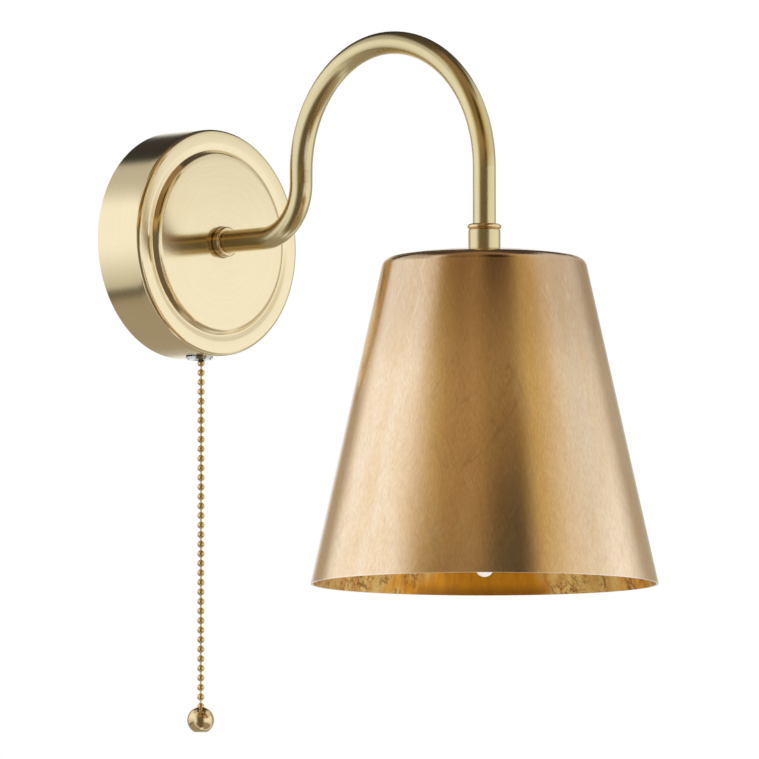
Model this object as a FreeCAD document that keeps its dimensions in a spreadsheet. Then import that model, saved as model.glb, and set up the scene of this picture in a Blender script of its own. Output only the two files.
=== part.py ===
import FreeCAD, Part
import math
import os
import re

import Sketcher

# A pull-chain wall light: a drum plate, a swan-neck arm and a tapered metal shade
# that hangs from it over a candle lamp. Millimetres. The wall is the plane y = 0,
# the light stands out along -Y, +Z is up, and the origin is the centre of the drum
# on the wall. "Out" sizes are counted from the wall, "down" sizes from the drum's
# centre line.
SIZES = {
    # drum plate
    "plate_radius": 50.0,
    "plate_depth": 25.0,
    "plate_wall": 1.0,
    "rim_round": 2.0,
    "groove_radius": 41.6,
    "groove_width": 2.7,
    "groove_depth": 0.35,
    "groove_bank": 0.35,
    "groove_floor": 0.35,
    "disc_stand": 2.0,
    "disc_shoulder": 2.1,
    "dome_rise": 0.5,
    # wall bracket inside the drum
    "bracket_thickness": 1.5,
    "bracket_gap": 0.8,
    "bracket_waist": 24.0,
    "bracket_half_height": 12.0,
    "ear_half_height": 6.0,
    "ear_depth": 11.0,
    "tab_half_width": 16.0,
    "tab_top": 34.0,
    "slot_offset": 30.0,
    "slot_length": 12.0,
    "slot_radius": 2.25,
    "supply_hole_radius": 8.0,
    "earth_offset": 16.0,
    "earth_screw_radius": 2.0,
    "earth_head_radius": 3.6,
    "earth_head_height": 2.4,
    "earth_cup_height": 1.4,
    # screw that holds the drum to the bracket
    "cover_screw_out": 6.0,
    "cover_screw_radius": 1.5,
    "cover_screw_length": 5.5,
    "cover_head_radius": 3.2,
    "cover_head_height": 1.8,
    # terminal block
    "way_pitch": 8.0,
    "block_half_width": 12.5,
    "block_bottom": 14.0,
    "block_height": 17.0,
    "block_depth": 13.0,
    "way_out": 7.5,
    "way_radius": 1.9,
    "insert_bore": 1.3,
    "insert_length": 15.0,
    "clamp_spacing": 9.0,
    "clamp_radius": 1.6,
    "clamp_length": 3.0,
    "block_screw_radius": 1.45,
    "block_head_radius": 2.5,
    "block_head_height": 1.6,
    # pull switch
    "switch_out": 13.4,
    "switch_half_width": 9.5,
    "switch_half_depth": 6.6,
    "switch_height": 20.0,
    "switch_floor": 1.0,
    "lid_thickness": 1.5,
    "neck_radius": 4.2,
    "neck_bore": 2.85,
    "neck_stand": 1.3,
    "washer_radius": 6.2,
    "washer_thickness": 0.75,
    "nut_flange_radius": 6.05,
    "nut_flange_height": 0.6,
    "nut_radius": 5.3,
    "blade_width": 2.4,
    "blade_thickness": 0.8,
    "blade_height": 2.5,
    "lead_radius": 0.9,
    "lead_bend": 8.0,
    "lead_rise": 5.0,
    # pull chain
    "chain_offset": 1.0,
    "bead_radius": 1.6,
    "bead_flat": 0.5,
    "bead_pitch": 4.21,
    "bead_count": 36,
    "link_radius": 0.42,
    "pivot_hang": 1.45,
    "rod_head_radius": 3.3,
    "rod_head_height": 3.0,
    "rod_stem_radius": 1.2,
    "rod_spring_room": 5.0,
    "pull_travel": 8.0,
    "ball_radius": 5.95,
    "ball_flat": 2.8,
    # arm
    "tube_radius": 5.0,
    "tube_bore": 4.0,
    "arm_tail": 9.2,
    "arm_run": 25.89,
    "arm_bend": 22.6,
    "arm_rise": 5.71,
    "arch_back_radius": 52.43,
    "arch_front_radius": 58.32,
    "arm_end_drop": 25.0,
    "collar_radius": 6.6,
    "collar_band": 1.9,
    "collar_lip_radius": 6.75,
    "collar_lip": 2.0,
    "collar_groove": 0.3,
    "collar_round": 1.0,
    "lock_nut_flats": 14.0,
    "lock_nut_height": 4.0,
    "lock_washer_radius": 9.0,
    "lock_washer_thickness": 1.0,
    "flex_radius": 2.4,
    "flex_bend": 7.0,
    # ring and coupler between the arm and the shade
    "ring_top": 2.35,
    "ring_radius": 7.45,
    "ring_height": 2.35,
    "coupler_radius": 7.0,
    "coupler_height": 9.3,
    "coupler_chamfer": 0.4,
    # shade
    "shade_height": 144.4,
    "shade_top_radius": 43.7,
    "shade_bottom_radius": 75.2,
    "shade_wall": 1.0,
    "shade_crown": 3.5,
    "shade_shoulder": 5.0,
    "shade_seat": 8.0,
    "shade_washer_radius": 9.0,
    "shade_washer_thickness": 0.8,
    "shade_nut_height": 3.0,
    # lampholder and lamp
    "holder_radius": 14.0,
    "holder_neck_radius": 7.5,
    "holder_neck_height": 5.0,
    "holder_cap_height": 15.0,
    "holder_wall": 1.4,
    "holder_length": 60.0,
    "insulator_depth": 4.0,
    "insulator_length": 20.0,
    "shell_radius": 7.6,
    "shell_wall": 0.35,
    "shell_length": 21.0,
    "shell_recess": 2.0,
    "contact_radius": 4.0,
    "contact_thickness": 0.4,
    "contact_tongue_radius": 1.6,
    "contact_rise": 1.0,
    "lamp_cap_radius": 6.85,
    "lamp_cap_length": 17.0,
    "lamp_cap_wall": 0.4,
    "lamp_cap_shoulder": 1.0,
    "lamp_contact_radius": 2.6,
    "lamp_contact_height": 1.2,
    "lamp_insulator_height": 2.3,
    "lamp_radius": 17.5,
    "lamp_neck_length": 4.0,
    "lamp_belly_drop": 31.0,
    "lamp_glass_length": 82.0,
    "lamp_tip_radius": 4.0,
    "lamp_glass_wall": 0.8,
    "stem_radius": 3.0,
    "stem_height": 16.0,
    "stem_foot_height": 0.5,
    "stem_flare": 3.0,
    "stem_head_height": 1.0,
    "filament_radius": 0.9,
    "filament_length": 26.0,
    "filament_offset": 4.2,
    "filament_count": 4,
    # fits
    "thread_fit": 0.05,
    "seat_fit": 0.02,
    "pass_fit": 0.1,
    "swivel_fit": 0.08,
    "running_fit": 0.3,
}

# Places that several pieces share, each worked out from the sizes above.
DISC_EDGE = "(plate_depth + disc_stand)"
DISC_FACE = f"({DISC_EDGE} + dome_rise)"
ARM_INNER = f"({DISC_FACE} - plate_wall)"
BEND_OUT = f"({DISC_FACE} + arm_run)"
ARCH_FOOT = "(arm_bend + arm_rise + arch_back_radius - arch_front_radius)"
SHADE_OUT = f"({BEND_OUT} + arm_bend + arch_back_radius + arch_front_radius)"
SHADE_TOP = "(ring_top + ring_height + coupler_height)"
SHADE_UNDER = f"({SHADE_TOP} + shade_wall + seat_fit)"
HOLDER_TOP = f"({SHADE_UNDER} + shade_washer_thickness + shade_nut_height)"
HOLDER_END = f"({HOLDER_TOP} + holder_length)"
BRACKET_REACH = "(plate_radius - plate_wall - bracket_gap)"
WASHER_SEAT = "(sqrt((plate_radius - plate_wall)^2 - washer_radius^2) - seat_fit)"
SWITCH_BASE = f"({WASHER_SEAT} - washer_thickness)"
SWITCH_TOP = f"({SWITCH_BASE} - switch_height)"
CHAIN_OUT = "(switch_out + chain_offset)"
BEAD_POLE = "sqrt(bead_radius^2 - bead_flat^2)"
PIVOT_DROP = "(plate_radius + neck_stand + pivot_hang)"
ROD_FOOT = f"({PIVOT_DROP} - 2 * bead_pitch - {BEAD_POLE})"
ROD_HEAD = f"({SWITCH_BASE} - switch_floor - rod_spring_room - pull_travel - rod_head_height)"
BALL_DROP = f"({PIVOT_DROP} + bead_count * bead_pitch + ball_radius)"
CAVITY_RADIUS = "(rod_head_radius + running_fit)"
BLOCK_OUT = "(bracket_thickness + block_depth)"
SHELL_TOP = f"({HOLDER_END} - shell_recess - shell_length)"
LAMP_SEAT = f"({SHELL_TOP} + contact_rise + seat_fit)"
LAMP_CAP_TOP = f"({LAMP_SEAT} + lamp_contact_height + lamp_insulator_height)"
LAMP_CAP_END = f"({LAMP_CAP_TOP} + lamp_cap_length)"

OUT = FreeCAD.Rotation(FreeCAD.Vector(1, 0, 0), 90)  # own Z points out of the wall
DOWN = FreeCAD.Rotation(FreeCAD.Vector(1, 0, 0), 180)  # own Z points down
UP = FreeCAD.Rotation()
CIRCLE_UP = FreeCAD.Vector(0, 0, 1)
LEFT, RIGHT = 1, -1
HALF_ROUND = "half round"
EDGE_MATCH = 0.01  # how near an edge has to be to the one looked for

doc = FreeCAD.newDocument("wall_light")
sheet = doc.addObject("Spreadsheet::Sheet", "Sizes")
for row, (size, amount) in enumerate(SIZES.items(), start=1):
    sheet.set(f"A{row}", size)
    sheet.set(f"B{row}", str(amount))
    sheet.setAlias(f"B{row}", size)
doc.recompute()

pieces = []


def cells(expression):
    """The expression with each size written as its cell in the sheet."""
    def cell(word):
        return f"Sizes.{word.group()}" if word.group() in SIZES else word.group()

    return re.sub(r"[a-z_]+", cell, str(expression))


def amount_of(expression):
    """What an expression comes to now."""
    return float(sheet.evalExpression(cells(expression)))


def bind(thing, **sizes):
    """Ties each property to its expression. Base_y stands for Placement.Base.y."""
    for name, expression in sizes.items():
        target = name.replace("Base_", "Placement.Base.")
        thing.setExpression(target, cells(expression))


def keep(thing, label):
    """Names a finished piece, which gets a file of its own."""
    thing.Label = label
    pieces.append(thing)
    return thing


def new_body(label, turn=UP, **base):
    """A body that is a piece of its own, turned and placed in the light."""
    body = doc.addObject("PartDesign::Body", label)
    body.Placement = FreeCAD.Placement(FreeCAD.Vector(), turn)
    bind(body, **base)
    return keep(body, label)


def new_sketch(body, plane, name):
    """A sketch on one of the body's own origin planes."""
    sketch = body.newObject("Sketcher::SketchObject", name)
    support = next(f for f in body.Origin.OriginFeatures if f.Role == plane)
    sketch.AttachmentSupport = [(support, "")]
    sketch.MapMode = "FlatFace"
    return sketch


def set_size(sketch, constraint, name, expression):
    """Adds a dimension to the sketch and ties it to its expression."""
    index = sketch.addConstraint(constraint)
    sketch.renameConstraint(index, name)
    sketch.setExpression(f"Constraints.{name}", cells(expression))


def end_at(sketch, line, point):
    """Which end of a sketch line lies at a point: 1 or 2."""
    near = (sketch.getPoint(line, 1) - point).Length < (sketch.getPoint(line, 2) - point).Length
    return 1 if near else 2


def arc_between(start, end, radius, side):
    """The short arc from start to end that bulges to that side of the way."""
    chord = end - start
    across = FreeCAD.Vector(-chord.y, chord.x, 0).normalize() * side
    middle = (start + end) * 0.5
    centre = middle - across * math.sqrt(max(radius**2 - chord.Length**2 / 4, 0))
    return Part.Arc(start, centre + across * radius, end)


def draw_outline(sketch, steps):
    """A closed outline of corners (x, y), with arcs (radius, side, "arc") between some of them.

    A half round runs on smoothly from the edge before it.
    """
    corners = [step for step in steps if len(step) == 2]
    points = [FreeCAD.Vector(amount_of(x), amount_of(y), 0) for x, y in corners]
    arcs = {}
    seen = 0
    for step in steps:
        if len(step) == 2:
            seen += 1
        else:
            arcs[seen - 1] = step
    edges = []
    for number, start in enumerate(points):
        end = points[(number + 1) % len(points)]
        radius, side, _ = arcs.get(number, (None, None, None))
        if radius is None:
            edges.append(sketch.addGeometry(Part.LineSegment(start, end)))
        elif radius == HALF_ROUND:
            edges.append(sketch.addGeometry(arc_between(start, end, (end - start).Length / 2, side)))
        else:
            edges.append(sketch.addGeometry(arc_between(start, end, amount_of(radius), side)))
            constraint = Sketcher.Constraint("Radius", edges[-1], amount_of(radius))
            set_size(sketch, constraint, f"round{number}", radius)
    for number, (x, y) in enumerate(corners):
        point = points[number]
        here, before = edges[number], edges[number - 1]
        first, last = end_at(sketch, here, point), end_at(sketch, before, point)
        smooth = number in arcs and arcs[number][0] == HALF_ROUND
        joint = "Tangent" if smooth else "Coincident"
        sketch.addConstraint(Sketcher.Constraint(joint, before, last, here, first))
        for kind, axis, along, size in (("DistanceX", -2, point.x, x), ("DistanceY", -1, point.y, y)):
            if str(size) == "0":
                sketch.addConstraint(Sketcher.Constraint("PointOnObject", here, first, axis))
            else:
                constraint = Sketcher.Constraint(kind, -1, 1, here, first, along)
                set_size(sketch, constraint, f"{kind[-1].lower()}{number}", size)


def draw_circle(sketch, radius, x="0", y="0", name="hole"):
    """A circle at a point of the sketch."""
    centre = FreeCAD.Vector(amount_of(x), amount_of(y), 0)
    circle = sketch.addGeometry(Part.Circle(centre, CIRCLE_UP, amount_of(radius)))
    set_size(sketch, Sketcher.Constraint("Radius", circle, amount_of(radius)), f"{name}_radius", radius)
    for kind, axis, along, size in (("DistanceX", -2, centre.x, x), ("DistanceY", -1, centre.y, y)):
        if size == "0":
            sketch.addConstraint(Sketcher.Constraint("PointOnObject", circle, 3, axis))
        else:
            constraint = Sketcher.Constraint(kind, -1, 1, circle, 3, along)
            set_size(sketch, constraint, f"{name}_{kind[-1].lower()}", size)


def draw_route(sketch, start, heading, steps):
    """An open path of straight runs joined by tangent arcs.

    A run is one expression. A bend is (radius, degrees), positive to the left.
    """
    place = FreeCAD.Vector(amount_of(start[0]), amount_of(start[1]), 0)
    angle = heading
    edges = []
    for step in steps:
        ahead = FreeCAD.Vector(math.cos(math.radians(angle)), math.sin(math.radians(angle)), 0)
        if isinstance(step, tuple):
            radius, turn = amount_of(step[0]), step[1]
            side = FreeCAD.Vector(-ahead.y, ahead.x, 0) * math.copysign(1, turn)
            centre = place + side * radius
            spin = FreeCAD.Rotation(CIRCLE_UP, turn)
            half = FreeCAD.Rotation(CIRCLE_UP, turn / 2)
            middle = centre + half.multVec(place - centre)
            end = centre + spin.multVec(place - centre)
            edge = sketch.addGeometry(Part.Arc(place, middle, end))
            set_size(sketch, Sketcher.Constraint("Radius", edge, radius), f"bend{len(edges)}", step[0])
            angle += turn
        else:
            length = amount_of(step)
            end = place + ahead * length
            edge = sketch.addGeometry(Part.LineSegment(place, end))
            set_size(sketch, Sketcher.Constraint("Distance", edge, length), f"run{len(edges)}", step)
            level = "Horizontal" if round(angle) % 180 == 0 else "Vertical"
            if round(angle) % 90 == 0:
                sketch.addConstraint(Sketcher.Constraint(level, edge))
            else:
                first = edges[0][0]
                lean = abs(math.radians(angle - heading))
                sketch.addConstraint(Sketcher.Constraint("Angle", first, 2, edge, 1, math.pi - lean))
        if edges:
            before = edges[-1][0]
            joint = (before, end_at(sketch, before, place), edge, end_at(sketch, edge, place))
            sketch.addConstraint(Sketcher.Constraint("Tangent", *joint))
        else:
            ties = (("DistanceX", -2, place.x, start[0]), ("DistanceY", -1, place.y, start[1]))
            for kind, axis, along, size in ties:
                if size == "0":
                    sketch.addConstraint(Sketcher.Constraint("PointOnObject", edge, 1, axis))
                else:
                    constraint = Sketcher.Constraint(kind, -1, 1, edge, 1, along)
                    set_size(sketch, constraint, f"start_{kind[-1].lower()}", size)
        edges.append((edge, end))
        place = end


def turn_outline(body, steps, name="Turning"):
    """Turns a half section round the body's own Z axis."""
    sketch = new_sketch(body, "XZ_Plane", f"{name}Section")
    draw_outline(sketch, steps)
    turning = body.newObject("PartDesign::Revolution", name)
    turning.Profile = sketch
    turning.ReferenceAxis = (sketch, ["V_Axis"])
    turning.Angle = 360
    return turning


def turned(label, steps, turn=DOWN, **base):
    """A turned or spun piece, from its half section (radius, height)."""
    body = new_body(label, turn, **base)
    turn_outline(body, steps)
    return body


def ring(label, inner, outer, start, end, turn=DOWN, **base):
    """A plain ring or sleeve from one height to the other."""
    return turned(label, [(inner, start), (outer, start), (outer, end), (inner, end)], turn, **base)


def padded(body, sketch, length, name="Pad"):
    """Raises a sketch by a length."""
    pad = body.newObject("PartDesign::Pad", name)
    pad.Profile = sketch
    bind(pad, Length=length)
    return pad


def pocketed(body, sketch, length, name, backwards=False):
    """Cuts a sketch into the body, which has to lose volume by it."""
    doc.recompute()
    before = body.Shape.Volume
    pocket = body.newObject("PartDesign::Pocket", name)
    pocket.Profile = sketch
    pocket.Reversed = backwards
    bind(pocket, Length=length)
    doc.recompute()
    if not body.Shape.Volume < before:
        raise ValueError(f"{name} cuts nothing from {body.Label}")
    return pocket


def cylinder(radius, length, turn=UP, **base):
    """A plain cylinder along its own Z axis."""
    rod = doc.addObject("Part::Cylinder", "Rod")
    rod.Placement = FreeCAD.Placement(FreeCAD.Vector(), turn)
    bind(rod, Radius=radius, Height=length, **base)
    return rod


def block(length, width, height, turn=UP, **base):
    """A plain box with its corner at its base point."""
    box = doc.addObject("Part::Box", "Box")
    box.Placement = FreeCAD.Placement(FreeCAD.Vector(), turn)
    bind(box, Length=length, Width=width, Height=height, **base)
    return box


def group(label, members):
    """Alike pieces that share one file, each its own solid."""
    compound = doc.addObject("Part::Compound", label)
    compound.Links = members
    return keep(compound, label)


def cut(label, base, tools):
    """A base with the tools taken out of it, as a finished piece."""
    joined = tools[0]
    if len(tools) > 1:
        joined = doc.addObject("Part::MultiFuse", "Tools")
        joined.Shapes = tools
    result = doc.addObject("Part::Cut", label)
    result.Base = base
    result.Tool = joined
    return keep(result, label) if label else result


def hex_nut(label, flats, height, bore, turn, **base):
    """A hexagon nut with its bottom face at its base point."""
    hexagon = doc.addObject("Part::Prism", "Hexagon")
    hexagon.Polygon = 6
    hexagon.Placement = FreeCAD.Placement(FreeCAD.Vector(), turn)
    bind(hexagon, Circumradius=f"{flats} / 2 / cos(30 deg)", Height=height, **base)
    return cut(label, hexagon, [cylinder(bore, height, turn, **base)])


# ---------------------------------------------------------------- drum plate


def make_cover():
    """The pressed drum: rounded rim, shallow groove and a raised, gently domed disc."""
    body = new_body("backplate_cover", OUT)
    disc = "groove_radius - groove_width"
    floor = "plate_depth - groove_depth"
    hole = "tube_radius + pass_fit"
    inside = f"({disc} - plate_wall / 2)"
    valley = "groove_radius - groove_bank - groove_floor"
    steps = [
        ("plate_radius", "0"),
        ("plate_radius", "plate_depth - rim_round"),
        ("rim_round", RIGHT, "arc"),
        ("plate_radius - rim_round", "plate_depth"),
        ("groove_radius", "plate_depth"),
        ("groove_radius - groove_bank", floor),
        (valley, floor),
        ("disc_shoulder", RIGHT, "arc"),
        (disc, DISC_EDGE),
        (f"(({disc} - ({hole}))^2 + dome_rise^2) / (2 * dome_rise)", RIGHT, "arc"),
        (hole, DISC_FACE),
        (hole, ARM_INNER),
        (f"(({inside} - ({hole}))^2 + dome_rise^2) / (2 * dome_rise)", LEFT, "arc"),
        (inside, f"{DISC_EDGE} - plate_wall"),
        (f"{valley} - plate_wall / 2", f"{floor} - plate_wall"),
        ("groove_radius + plate_wall / 2", f"{floor} - plate_wall"),
        ("groove_radius + plate_wall / 2", "plate_depth - plate_wall"),
        ("plate_radius - rim_round", "plate_depth - plate_wall"),
        ("rim_round - plate_wall", LEFT, "arc"),
        ("plate_radius - plate_wall", "plate_depth - rim_round"),
        ("plate_radius - plate_wall", "0"),
    ]
    turn_outline(body, steps, "Drum")
    neck_hole = new_sketch(body, "XZ_Plane", "NeckHole")
    draw_circle(neck_hole, "neck_radius + pass_fit", "0", "switch_out")
    pocketed(body, neck_hole, "plate_radius + plate_wall", "NeckPocket", backwards=True)
    screw_hole = new_sketch(body, "YZ_Plane", "ScrewHole")
    draw_circle(screw_hole, "cover_screw_radius + pass_fit", "0", "cover_screw_out")
    pocketed(body, screw_hole, "plate_radius + plate_wall", "ScrewPocket", backwards=True)


def make_bracket():
    """The steel bracket on the wall: slotted bar, tab for the terminal block and two ears."""
    body = new_body("wall_bracket", OUT)
    low, high = "-ear_half_height", "ear_half_height"
    bottom, top = "-bracket_half_height", "bracket_half_height"
    bar = new_sketch(body, "XY_Plane", "BracketOutline")
    corners = [
        (BRACKET_REACH, low),
        (BRACKET_REACH, high),
        ("bracket_waist", top),
        ("tab_half_width", top),
        ("tab_half_width", "tab_top"),
        ("-tab_half_width", "tab_top"),
        ("-tab_half_width", top),
        ("-bracket_waist", top),
        (f"-{BRACKET_REACH}", high),
        (f"-{BRACKET_REACH}", low),
        ("-bracket_waist", bottom),
        ("bracket_waist", bottom),
    ]
    draw_outline(bar, corners)
    draw_circle(bar, "supply_hole_radius", name="supply")
    draw_circle(bar, "earth_screw_radius", "-earth_offset", "0", name="earth")
    for side, name in (("", "right"), ("-", "left")):
        across = "way_pitch / 2"
        height = "block_bottom + block_height / 2"
        draw_circle(bar, "block_screw_radius + thread_fit", f"{side}{across}", height, name=f"block_{name}")
    padded(body, bar, "bracket_thickness", "BracketPlate")
    for side, name in ((1, "Right"), (-1, "Left")):
        ear = new_sketch(body, "XY_Plane", f"{name}EarOutline")
        outer, inner = BRACKET_REACH, f"({BRACKET_REACH} - bracket_thickness)"
        if side < 0:
            outer, inner = f"-{inner}", f"-{outer}"
        draw_outline(ear, [(inner, low), (outer, low), (outer, high), (inner, high)])
        padded(body, ear, "ear_depth", f"{name}Ear")
        slot = new_sketch(body, "XY_Plane", f"{name}SlotOutline")
        near = "slot_offset - slot_length / 2 + slot_radius"
        far = "slot_offset + slot_length / 2 - slot_radius"
        if side < 0:
            near, far = f"-({far})", f"-({near})"
        outline = [
            (near, "-slot_radius"),
            (far, "-slot_radius"),
            (HALF_ROUND, RIGHT, "arc"),
            (far, "slot_radius"),
            (near, "slot_radius"),
            (HALF_ROUND, RIGHT, "arc"),
        ]
        draw_outline(slot, outline)
        pocketed(body, slot, "bracket_thickness", f"{name}Slot", backwards=True)
    screw_hole = new_sketch(body, "YZ_Plane", "EarHole")
    draw_circle(screw_hole, "cover_screw_radius", "0", "cover_screw_out")
    pocketed(body, screw_hole, f"{BRACKET_REACH} + bracket_thickness", "EarPocket", backwards=True)


def make_cover_screw():
    """The small domed screw in the drum's hidden side, run into the bracket's ear."""
    shank = "cover_screw_radius - thread_fit"
    steps = [
        ("0", "-cover_screw_length"),
        (shank, "-cover_screw_length"),
        (shank, "0"),
        ("cover_head_radius", "0"),
        ("(cover_head_radius^2 + cover_head_height^2) / (2 * cover_head_height)", RIGHT, "arc"),
        ("0", "cover_head_height"),
    ]
    sideways = FreeCAD.Rotation(FreeCAD.Vector(0, 1, 0), 90)
    turned("cover_screw", steps, sideways, Base_x="plate_radius + seat_fit", Base_y="-cover_screw_out")


def make_earth_terminal():
    """The earth screw in the bracket, and the cup washer under its head."""
    cup_top = "(bracket_thickness + earth_cup_height)"
    shank = "earth_screw_radius - thread_fit"
    steps = [
        ("0", "0"),
        (shank, "0"),
        (shank, cup_top),
        ("earth_head_radius", cup_top),
        ("earth_head_radius", f"{cup_top} + earth_head_height"),
        ("0", f"{cup_top} + earth_head_height"),
    ]
    turned("earth_screw", steps, OUT, Base_x="-earth_offset")
    ring("earth_cup_washer", "earth_screw_radius", "earth_head_radius", "bracket_thickness", cup_top, OUT,
         Base_x="-earth_offset")


def make_terminal_block():
    """The three-way terminal block: moulding, brass inserts, clamp screws and its own two screws."""
    middle = "(block_bottom + block_height / 2)"
    well = f"({BLOCK_OUT} - way_out)"
    body = block("2 * block_half_width", "block_height", "block_depth", OUT,
                 Base_x="-block_half_width", Base_y="-bracket_thickness", Base_z="block_bottom")
    hollows, inserts, clamps, screws = [], [], [], []
    for way in (-1, 0, 1):
        across = f"{way} * way_pitch"
        hollows.append(cylinder("way_radius + thread_fit", "block_height", UP,
                                Base_x=across, Base_y="-way_out", Base_z="block_bottom"))
        insert = cylinder("way_radius", "insert_length", UP,
                          Base_x=across, Base_y="-way_out", Base_z=f"{middle} - insert_length / 2")
        bore = cylinder("insert_bore", "insert_length", UP,
                        Base_x=across, Base_y="-way_out", Base_z=f"{middle} - insert_length / 2")
        inserts.append(cut("", insert, [bore]))
        for row in (-1, 1):
            height = f"{middle} + {row} * clamp_spacing / 2"
            hollows.append(cylinder("clamp_radius + thread_fit", well, OUT,
                                    Base_x=across, Base_y="-way_out", Base_z=height))
            clamps.append(cylinder("clamp_radius", "clamp_length", OUT, Base_x=across,
                                   Base_y="-(way_out + way_radius + seat_fit)", Base_z=height))
    for side in (-1, 1):
        across = f"{side} * way_pitch / 2"
        hollows.append(cylinder("block_screw_radius + thread_fit", "block_depth", OUT,
                                Base_x=across, Base_y="-bracket_thickness", Base_z=middle))
        hollows.append(cylinder("block_head_radius + pass_fit", "block_head_height", OUT,
                                Base_x=across, Base_y=f"-({BLOCK_OUT} - block_head_height)", Base_z=middle))
        shank = cylinder("block_screw_radius", f"{BLOCK_OUT} - block_head_height", OUT,
                         Base_x=across, Base_z=middle)
        head = cylinder("block_head_radius", "block_head_height", OUT,
                        Base_x=across, Base_y=f"-({BLOCK_OUT} - block_head_height)", Base_z=middle)
        screw = doc.addObject("Part::Fuse", "BlockScrew")
        screw.Base = shank
        screw.Tool = head
        screws.append(screw)
    cut("terminal_block", body, hollows)
    group("terminal_inserts", inserts)
    group("terminal_screws", clamps)
    group("block_screws", screws)


# --------------------------------------------------------------- pull switch


def make_switch():
    """The pull switch: moulded case and lid, blades, threaded neck, washer and flanged nut."""
    at_neck = {"Base_y": "-switch_out"}
    case = block("2 * switch_half_width", "2 * switch_half_depth", "switch_height", UP,
                 Base_x="-switch_half_width", Base_y="-(switch_out + switch_half_depth)",
                 Base_z=f"-{SWITCH_BASE}")
    cavity = cylinder(CAVITY_RADIUS, "switch_height - switch_floor", UP,
                      Base_y=f"-{CHAIN_OUT}", Base_z=f"-({SWITCH_BASE} - switch_floor)")
    outlet = cylinder("bead_radius + running_fit", "switch_floor", UP,
                      Base_y=f"-{CHAIN_OUT}", Base_z=f"-{SWITCH_BASE}")
    cut("switch_case", case, [cavity, outlet])
    keep(block("2 * switch_half_width", "2 * switch_half_depth", "lid_thickness", UP,
               Base_x="-switch_half_width", Base_y="-(switch_out + switch_half_depth)",
               Base_z=f"-{SWITCH_TOP}"), "switch_lid")
    blades = []
    for side in (-1, 1):
        blades.append(block("blade_width", "blade_thickness", "blade_height", UP,
                            Base_x=f"{side} * way_pitch - blade_width / 2",
                            Base_y="-(switch_out + blade_thickness / 2)",
                            Base_z=f"-({SWITCH_TOP} - lid_thickness)"))
    group("switch_blades", blades)
    nut_seat = "(plate_radius + seat_fit)"
    ring("switch_neck", "neck_bore", "neck_radius", SWITCH_BASE, "plate_radius + neck_stand", **at_neck)
    ring("switch_washer", "neck_radius + thread_fit", "washer_radius", SWITCH_BASE, WASHER_SEAT, **at_neck)
    steps = [
        ("neck_radius + thread_fit", nut_seat),
        ("nut_flange_radius", nut_seat),
        ("nut_flange_radius", f"{nut_seat} + nut_flange_height"),
        ("nut_radius", f"{nut_seat} + nut_flange_height"),
        ("nut_radius", "plate_radius + neck_stand"),
        ("neck_radius + thread_fit", "plate_radius + neck_stand"),
    ]
    turned("switch_nut", steps, **at_neck)


def make_switch_leads():
    """The two leads from the switch blades up to the terminal block's outer ways."""
    leads = []
    start = f"-({SWITCH_TOP} - lid_thickness - blade_height)"
    aside = "(switch_out - way_out)"
    slant = f"({aside} - 2 * lead_bend * (1 - cos(45 deg))) / sin(45 deg)"
    risen = f"(2 * lead_bend * sin(45 deg) + {aside} - 2 * lead_bend * (1 - cos(45 deg)))"
    last = f"block_bottom - ({start}) - lead_rise - {risen}"
    for side in (-1, 1):
        body = doc.addObject("PartDesign::Body", "Lead")
        body.Placement = FreeCAD.Placement(FreeCAD.Vector(), OUT)
        bind(body, Base_x=f"{side} * way_pitch")
        path = new_sketch(body, "YZ_Plane", "LeadPath")
        steps = ["lead_rise", ("lead_bend", -45), slant, ("lead_bend", 45), last]
        draw_route(path, (start, "switch_out"), 0, steps)
        section = new_sketch(body, "XZ_Plane", "LeadSection")
        draw_circle(section, "lead_radius", "0", "switch_out")
        section.setExpression("AttachmentOffset.Base.z", cells(f"-({start})"))
        pipe = body.newObject("PartDesign::AdditivePipe", "LeadPipe")
        pipe.Profile = section
        pipe.Spine = (path, [])
        leads.append(body)
    group("switch_leads", leads)


# ---------------------------------------------------------------- pull chain


def bead(drop):
    """One bead of the chain, flat where its links enter."""
    ball = doc.addObject("Part::Sphere", "Bead")
    pole = "acos(bead_flat / bead_radius)"
    bind(ball, Radius="bead_radius", Angle1=f"-{pole}", Angle2=pole)
    bind(ball, Base_y=f"-{CHAIN_OUT}", Base_z=f"-({drop})")
    return ball


def link(top, bottom):
    """The visible part of one link, from one depth to the other."""
    length = f"({bottom}) - ({top})"
    return cylinder("link_radius", length, DOWN, Base_y=f"-{CHAIN_OUT}", Base_z=f"-({top})")


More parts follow.
